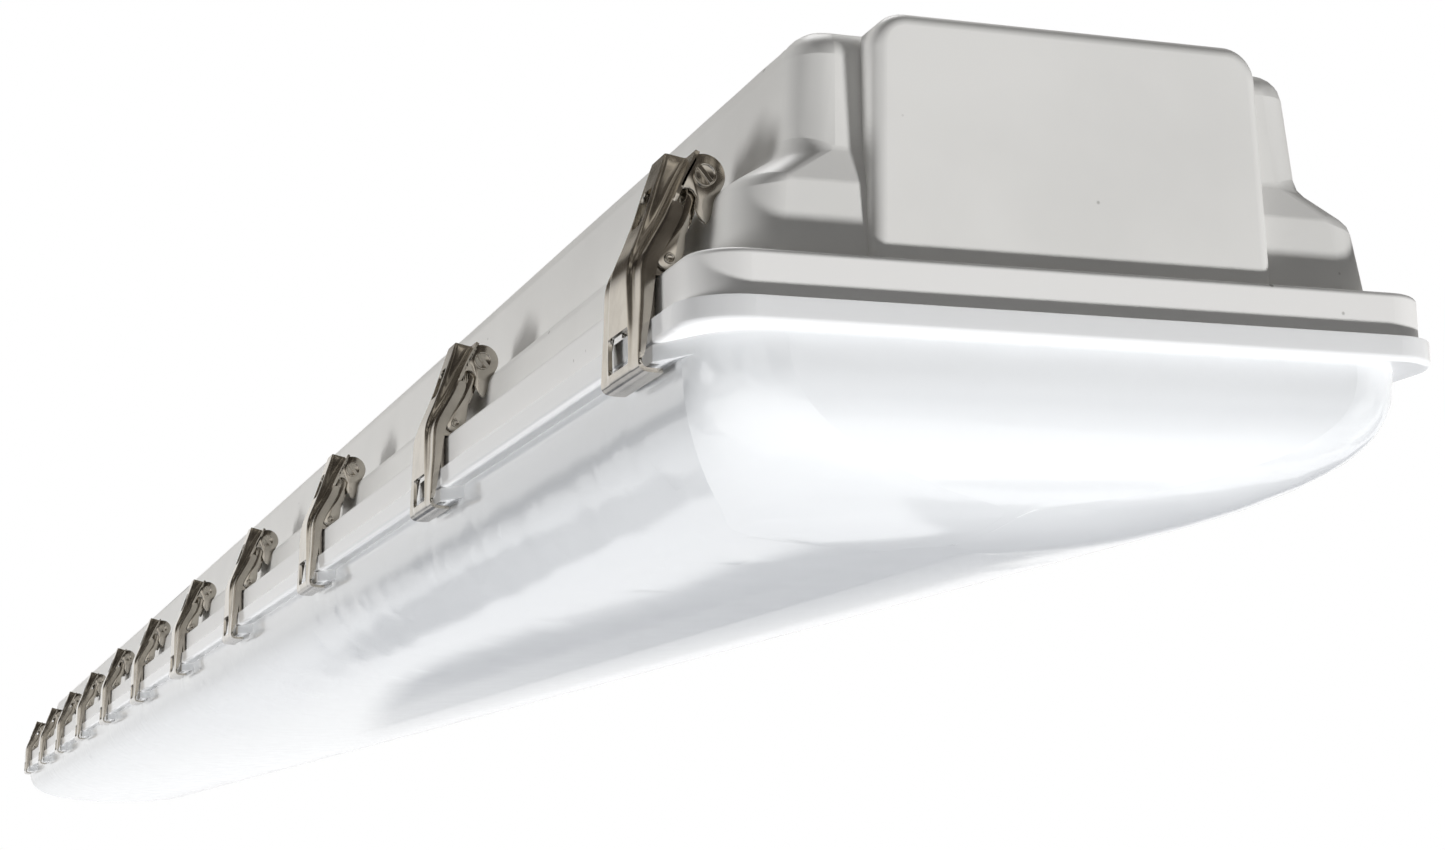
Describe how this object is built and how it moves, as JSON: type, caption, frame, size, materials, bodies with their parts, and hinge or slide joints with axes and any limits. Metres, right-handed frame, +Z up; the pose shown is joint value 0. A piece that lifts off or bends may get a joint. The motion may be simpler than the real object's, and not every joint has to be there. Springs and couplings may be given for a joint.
{
  "type": "vapor tight light fixture",
  "caption": "Long sealed ceiling light: two-tier white fibreglass housing with blank end pads, pillow-shaped opal lens and stainless over-centre latches along both sides.",
  "frame": {"origin": "centre of the four ceiling bolt holes, on the top face of the ceiling brackets", "axes": "+X along the fixture towards the blank end pad, +Z up into the ceiling, the fixture hangs below the origin"},
  "size_m": [2.4691, 0.2124, 0.128],
  "materials": {
    "fibreglass": "satin",
    "opal_lens": "gloss",
    "gasket_foam": "matte",
    "stainless": "polished",
    "white_enamel": "gloss",
    "zinc_screws": "satin",
    "board_white": "matte",
    "driver_case": "satin",
    "terminal_plastic": "matte",
    "wire_insulation": "satin",
    "hub_plastic": "matte"
  },
  "bodies": {
    "fixture": {"housing": "fibreglass", "gasket": "gasket_foam", "lens": "opal_lens", "latch_anchors": "stainless", "anchor_rivets": "stainless", "gear_tray": "white_enamel", "tray_screws": "zinc_screws", "led_boards": "board_white", "led_driver_1": "driver_case", "led_driver_2": "driver_case", "terminal_block": "terminal_plastic", "wiring": "wire_insulation", "mounting_brackets": "stainless", "bracket_bolts": "zinc_screws", "conduit_hub": "hub_plastic", "hub_locknut": "zinc_screws"},
    "latch_lever_01": {"latch_lever_01": "stainless"},
    "latch_hook_01": {"latch_hook_01": "stainless"},
    "latch_lever_02": {"latch_lever_02": "stainless"},
    "latch_hook_02": {"latch_hook_02": "stainless"},
    "latch_lever_03": {"latch_lever_03": "stainless"},
    "latch_hook_03": {"latch_hook_03": "stainless"},
    "latch_lever_04": {"latch_lever_04": "stainless"},
    "latch_hook_04": {"latch_hook_04": "stainless"},
    "latch_lever_05": {"latch_lever_05": "stainless"},
    "latch_hook_05": {"latch_hook_05": "stainless"},
    "latch_lever_06": {"latch_lever_06": "stainless"},
    "latch_hook_06": {"latch_hook_06": "stainless"},
    "latch_lever_07": {"latch_lever_07": "stainless"},
    "latch_hook_07": {"latch_hook_07": "stainless"},
    "latch_lever_08": {"latch_lever_08": "stainless"},
    "latch_hook_08": {"latch_hook_08": "stainless"},
    "latch_lever_09": {"latch_lever_09": "stainless"},
    "latch_hook_09": {"latch_hook_09": "stainless"},
    "latch_lever_10": {"latch_lever_10": "stainless"},
    "latch_hook_10": {"latch_hook_10": "stainless"},
    "latch_lever_11": {"latch_lever_11": "stainless"},
    "latch_hook_11": {"latch_hook_11": "stainless"},
    "latch_lever_12": {"latch_lever_12": "stainless"},
    "latch_hook_12": {"latch_hook_12": "stainless"},
    "latch_lever_13": {"latch_lever_13": "stainless"},
    "latch_hook_13": {"latch_hook_13": "stainless"},
    "latch_lever_14": {"latch_lever_14": "stainless"},
    "latch_hook_14": {"latch_hook_14": "stainless"},
    "latch_lever_15": {"latch_lever_15": "stainless"},
    "latch_hook_15": {"latch_hook_15": "stainless"},
    "latch_lever_16": {"latch_lever_16": "stainless"},
    "latch_hook_16": {"latch_hook_16": "stainless"},
    "latch_lever_17": {"latch_lever_17": "stainless"},
    "latch_hook_17": {"latch_hook_17": "stainless"},
    "latch_lever_18": {"latch_lever_18": "stainless"},
    "latch_hook_18": {"latch_hook_18": "stainless"},
    "latch_lever_19": {"latch_lever_19": "stainless"},
    "latch_hook_19": {"latch_hook_19": "stainless"},
    "latch_lever_20": {"latch_lever_20": "stainless"},
    "latch_hook_20": {"latch_hook_20": "stainless"},
    "latch_lever_21": {"latch_lever_21": "stainless"},
    "latch_hook_21": {"latch_hook_21": "stainless"},
    "latch_lever_22": {"latch_lever_22": "stainless"},
    "latch_hook_22": {"latch_hook_22": "stainless"}
  },
  "joints": [
    {"name": "latch_01_open", "type": "hinge", "parent": "fixture", "child": "latch_lever_01", "pos_m": [1.175, -0.097, -0.067], "axis": [1, 0, 0], "range_deg": [0, 95]},
    {"name": "latch_01_hook", "type": "hinge", "parent": "latch_lever_01", "child": "latch_hook_01", "pos_m": [1.175, -0.0885, -0.046], "axis": [-1, 0, 0], "range_deg": [0, 105]},
    {"name": "latch_02_open", "type": "hinge", "parent": "fixture", "child": "latch_lever_02", "pos_m": [0.943, -0.097, -0.067], "axis": [1, 0, 0], "range_deg": [0, 95]},
    {"name": "latch_02_hook", "type": "hinge", "parent": "latch_lever_02", "child": "latch_hook_02", "pos_m": [0.943, -0.0885, -0.046], "axis": [-1, 0, 0], "range_deg": [0, 105]},
    {"name": "latch_03_open", "type": "hinge", "parent": "fixture", "child": "latch_lever_03", "pos_m": [0.711, -0.097, -0.067], "axis": [1, 0, 0], "range_deg": [0, 95]},
    {"name": "latch_03_hook", "type": "hinge", "parent": "latch_lever_03", "child": "latch_hook_03", "pos_m": [0.711, -0.0885, -0.046], "axis": [-1, 0, 0], "range_deg": [0, 105]},
    {"name": "latch_04_open", "type": "hinge", "parent": "fixture", "child": "latch_lever_04", "pos_m": [0.479, -0.097, -0.067], "axis": [1, 0, 0], "range_deg": [0, 95]},
    {"name": "latch_04_hook", "type": "hinge", "parent": "latch_lever_04", "child": "latch_hook_04", "pos_m": [0.479, -0.0885, -0.046], "axis": [-1, 0, 0], "range_deg": [0, 105]},
    {"name": "latch_05_open", "type": "hinge", "parent": "fixture", "child": "latch_lever_05", "pos_m": [0.247, -0.097, -0.067], "axis": [1, 0, 0], "range_deg": [0, 95]},
    {"name": "latch_05_hook", "type": "hinge", "parent": "latch_lever_05", "child": "latch_hook_05", "pos_m": [0.247, -0.0885, -0.046], "axis": [-1, 0, 0], "range_deg": [0, 105]},
    {"name": "latch_06_open", "type": "hinge", "parent": "fixture", "child": "latch_lever_06", "pos_m": [0.015, -0.097, -0.067], "axis": [1, 0, 0], "range_deg": [0, 95]},
    {"name": "latch_06_hook", "type": "hinge", "parent": "latch_lever_06", "child": "latch_hook_06", "pos_m": [0.015, -0.0885, -0.046], "axis": [-1, 0, 0], "range_deg": [0, 105]},
    {"name": "latch_07_open", "type": "hinge", "parent": "fixture", "child": "latch_lever_07", "pos_m": [-0.217, -0.097, -0.067], "axis": [1, 0, 0], "range_deg": [0, 95]},
    {"name": "latch_07_hook", "type": "hinge", "parent": "latch_lever_07", "child": "latch_hook_07", "pos_m": [-0.217, -0.0885, -0.046], "axis": [-1, 0, 0], "range_deg": [0, 105]},
    {"name": "latch_08_open", "type": "hinge", "parent": "fixture", "child": "latch_lever_08", "pos_m": [-0.449, -0.097, -0.067], "axis": [1, 0, 0], "range_deg": [0, 95]},
    {"name": "latch_08_hook", "type": "hinge", "parent": "latch_lever_08", "child": "latch_hook_08", "pos_m": [-0.449, -0.0885, -0.046], "axis": [-1, 0, 0], "range_deg": [0, 105]},
    {"name": "latch_09_open", "type": "hinge", "parent": "fixture", "child": "latch_lever_09", "pos_m": [-0.681, -0.097, -0.067], "axis": [1, 0, 0], "range_deg": [0, 95]},
    {"name": "latch_09_hook", "type": "hinge", "parent": "latch_lever_09", "child": "latch_hook_09", "pos_m": [-0.681, -0.0885, -0.046], "axis": [-1, 0, 0], "range_deg": [0, 105]},
    {"name": "latch_10_open", "type": "hinge", "parent": "fixture", "child": "latch_lever_10", "pos_m": [-0.913, -0.097, -0.067], "axis": [1, 0, 0], "range_deg": [0, 95]},
    {"name": "latch_10_hook", "type": "hinge", "parent": "latch_lever_10", "child": "latch_hook_10", "pos_m": [-0.913, -0.0885, -0.046], "axis": [-1, 0, 0], "range_deg": [0, 105]},
    {"name": "latch_11_open", "type": "hinge", "parent": "fixture", "child": "latch_lever_11", "pos_m": [-1.145, -0.097, -0.067], "axis": [1, 0, 0], "range_deg": [0, 95]},
    {"name": "latch_11_hook", "type": "hinge", "parent": "latch_lever_11", "child": "latch_hook_11", "pos_m": [-1.145, -0.0885, -0.046], "axis": [-1, 0, 0], "range_deg": [0, 105]},
    {"name": "latch_12_open", "type": "hinge", "parent": "fixture", "child": "latch_lever_12", "pos_m": [-1.175, 0.097, -0.067], "axis": [-1, 0, 0], "range_deg": [0, 95]},
    {"name": "latch_12_hook", "type": "hinge", "parent": "latch_lever_12", "child": "latch_hook_12", "pos_m": [-1.175, 0.0885, -0.046], "axis": [1, 0, 0], "range_deg": [0, 105]},
    {"name": "latch_13_open", "type": "hinge", "parent": "fixture", "child": "latch_lever_13", "pos_m": [-0.943, 0.097, -0.067], "axis": [-1, 0, 0], "range_deg": [0, 95]},
    {"name": "latch_13_hook", "type": "hinge", "parent": "latch_lever_13", "child": "latch_hook_13", "pos_m": [-0.943, 0.0885, -0.046], "axis": [1, 0, 0], "range_deg": [0, 105]},
    {"name": "latch_14_open", "type": "hinge", "parent": "fixture", "child": "latch_lever_14", "pos_m": [-0.711, 0.097, -0.067], "axis": [-1, 0, 0], "range_deg": [0, 95]},
    {"name": "latch_14_hook", "type": "hinge", "parent": "latch_lever_14", "child": "latch_hook_14", "pos_m": [-0.711, 0.0885, -0.046], "axis": [1, 0, 0], "range_deg": [0, 105]},
    {"name": "latch_15_open", "type": "hinge", "parent": "fixture", "child": "latch_lever_15", "pos_m": [-0.479, 0.097, -0.067], "axis": [-1, 0, 0], "range_deg": [0, 95]},
    {"name": "latch_15_hook", "type": "hinge", "parent": "latch_lever_15", "child": "latch_hook_15", "pos_m": [-0.479, 0.0885, -0.046], "axis": [1, 0, 0], "range_deg": [0, 105]},
    {"name": "latch_16_open", "type": "hinge", "parent": "fixture", "child": "latch_lever_16", "pos_m": [-0.247, 0.097, -0.067], "axis": [-1, 0, 0], "range_deg": [0, 95]},
    {"name": "latch_16_hook", "type": "hinge", "parent": "latch_lever_16", "child": "latch_hook_16", "pos_m": [-0.247, 0.0885, -0.046], "axis": [1, 0, 0], "range_deg": [0, 105]},
    {"name": "latch_17_open", "type": "hinge", "parent": "fixture", "child": "latch_lever_17", "pos_m": [-0.015, 0.097, -0.067], "axis": [-1, 0, 0], "range_deg": [0, 95]},
    {"name": "latch_17_hook", "type": "hinge", "parent": "latch_lever_17", "child": "latch_hook_17", "pos_m": [-0.015, 0.0885, -0.046], "axis": [1, 0, 0], "range_deg": [0, 105]},
    {"name": "latch_18_open", "type": "hinge", "parent": "fixture", "child": "latch_lever_18", "pos_m": [0.217, 0.097, -0.067], "axis": [-1, 0, 0], "range_deg": [0, 95]},
    {"name": "latch_18_hook", "type": "hinge", "parent": "latch_lever_18", "child": "latch_hook_18", "pos_m": [0.217, 0.0885, -0.046], "axis": [1, 0, 0], "range_deg": [0, 105]},
    {"name": "latch_19_open", "type": "hinge", "parent": "fixture", "child": "latch_lever_19", "pos_m": [0.449, 0.097, -0.067], "axis": [-1, 0, 0], "range_deg": [0, 95]},
    {"name": "latch_19_hook", "type": "hinge", "parent": "latch_lever_19", "child": "latch_hook_19", "pos_m": [0.449, 0.0885, -0.046], "axis": [1, 0, 0], "range_deg": [0, 105]},
    {"name": "latch_20_open", "type": "hinge", "parent": "fixture", "child": "latch_lever_20", "pos_m": [0.681, 0.097, -0.067], "axis": [-1, 0, 0], "range_deg": [0, 95]},
    {"name": "latch_20_hook", "type": "hinge", "parent": "latch_lever_20", "child": "latch_hook_20", "pos_m": [0.681, 0.0885, -0.046], "axis": [1, 0, 0], "range_deg": [0, 105]},
    {"name": "latch_21_open", "type": "hinge", "parent": "fixture", "child": "latch_lever_21", "pos_m": [0.913, 0.097, -0.067], "axis": [-1, 0, 0], "range_deg": [0, 95]},
    {"name": "latch_21_hook", "type": "hinge", "parent": "latch_lever_21", "child": "latch_hook_21", "pos_m": [0.913, 0.0885, -0.046], "axis": [1, 0, 0], "range_deg": [0, 105]},
    {"name": "latch_22_open", "type": "hinge", "parent": "fixture", "child": "latch_lever_22", "pos_m": [1.145, 0.097, -0.067], "axis": [-1, 0, 0], "range_deg": [0, 95]},
    {"name": "latch_22_hook", "type": "hinge", "parent": "latch_lever_22", "child": "latch_hook_22", "pos_m": [1.145, 0.0885, -0.046], "axis": [1, 0, 0], "range_deg": [0, 105]}
  ],
  "couplings": [
    {"joint": "latch_01_hook", "follows": "latch_01_open", "ratio": 1.1},
    {"joint": "latch_02_hook", "follows": "latch_02_open", "ratio": 1.1},
    {"joint": "latch_03_hook", "follows": "latch_03_open", "ratio": 1.1},
    {"joint": "latch_04_hook", "follows": "latch_04_open", "ratio": 1.1},
    {"joint": "latch_05_hook", "follows": "latch_05_open", "ratio": 1.1},
    {"joint": "latch_06_hook", "follows": "latch_06_open", "ratio": 1.1},
    {"joint": "latch_07_hook", "follows": "latch_07_open", "ratio": 1.1},
    {"joint": "latch_08_hook", "follows": "latch_08_open", "ratio": 1.1},
    {"joint": "latch_09_hook", "follows": "latch_09_open", "ratio": 1.1},
    {"joint": "latch_10_hook", "follows": "latch_10_open", "ratio": 1.1},
    {"joint": "latch_11_hook", "follows": "latch_11_open", "ratio": 1.1},
    {"joint": "latch_12_hook", "follows": "latch_12_open", "ratio": 1.1},
    {"joint": "latch_13_hook", "follows": "latch_13_open", "ratio": 1.1},
    {"joint": "latch_14_hook", "follows": "latch_14_open", "ratio": 1.1},
    {"joint": "latch_15_hook", "follows": "latch_15_open", "ratio": 1.1},
    {"joint": "latch_16_hook", "follows": "latch_16_open", "ratio": 1.1},
    {"joint": "latch_17_hook", "follows": "latch_17_open", "ratio": 1.1},
    {"joint": "latch_18_hook", "follows": "latch_18_open", "ratio": 1.1},
    {"joint": "latch_19_hook", "follows": "latch_19_open", "ratio": 1.1},
    {"joint": "latch_20_hook", "follows": "latch_20_open", "ratio": 1.1},
    {"joint": "latch_21_hook", "follows": "latch_21_open", "ratio": 1.1},
    {"joint": "latch_22_hook", "follows": "latch_22_open", "ratio": 1.1}
  ]
}
